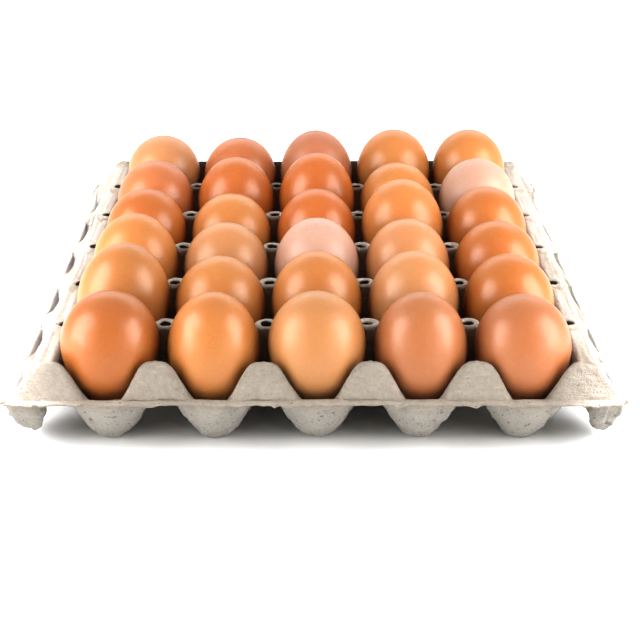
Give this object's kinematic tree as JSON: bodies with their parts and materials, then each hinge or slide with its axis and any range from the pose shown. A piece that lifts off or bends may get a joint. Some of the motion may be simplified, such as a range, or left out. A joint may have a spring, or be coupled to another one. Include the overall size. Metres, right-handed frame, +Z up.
{
  "type": "egg tray with eggs",
  "caption": "Square moulded-pulp egg tray with rounded posts and side pockets, filled with brown eggs standing blunt end up.",
  "frame": {"origin": "centre of the tray on the surface it stands on", "axes": "+Z up, +X along the rows of five cups, +Y away from the front edge toward the back edge"},
  "size_m": [0.286, 0.2958, 0.0763],
  "materials": {
    "pulp": "moulded paper pulp, rough and fibrous",
    "shell_amber": "eggshell, satin with fine pores",
    "shell_copper": "eggshell, satin with fine pores",
    "shell_russet": "eggshell, satin with fine pores",
    "shell_apricot": "eggshell, satin with fine pores",
    "shell_golden": "eggshell, satin with fine pores",
    "shell_peach": "eggshell, satin with fine pores",
    "shell_tan": "eggshell, satin with fine pores",
    "shell_mauve": "eggshell, satin with fine pores",
    "shell_pink": "eggshell, satin with fine pores"
  },
  "bodies": {
    "root": {"tray": "pulp", "egg_r1_c1": "shell_copper", "egg_r1_c2": "shell_apricot", "egg_r1_c3": "shell_golden", "egg_r1_c4": "shell_tan", "egg_r1_c5": "shell_tan", "egg_r2_c1": "shell_apricot", "egg_r2_c2": "shell_apricot", "egg_r2_c3": "shell_apricot", "egg_r2_c4": "shell_peach", "egg_r2_c5": "shell_copper", "egg_r3_c1": "shell_apricot", "egg_r3_c2": "shell_peach", "egg_r3_c3": "shell_pink", "egg_r3_c4": "shell_peach", "egg_r3_c5": "shell_copper", "egg_r4_c1": "shell_amber", "egg_r4_c2": "shell_apricot", "egg_r4_c3": "shell_amber", "egg_r4_c4": "shell_apricot", "egg_r4_c5": "shell_copper", "egg_r5_c1": "shell_russet", "egg_r5_c2": "shell_amber", "egg_r5_c3": "shell_amber", "egg_r5_c4": "shell_apricot", "egg_r5_c5": "shell_pink", "egg_r6_c1": "shell_peach", "egg_r6_c2": "shell_russet", "egg_r6_c3": "shell_mauve", "egg_r6_c4": "shell_apricot", "egg_r6_c5": "shell_apricot"}
  },
  "joints": []
}
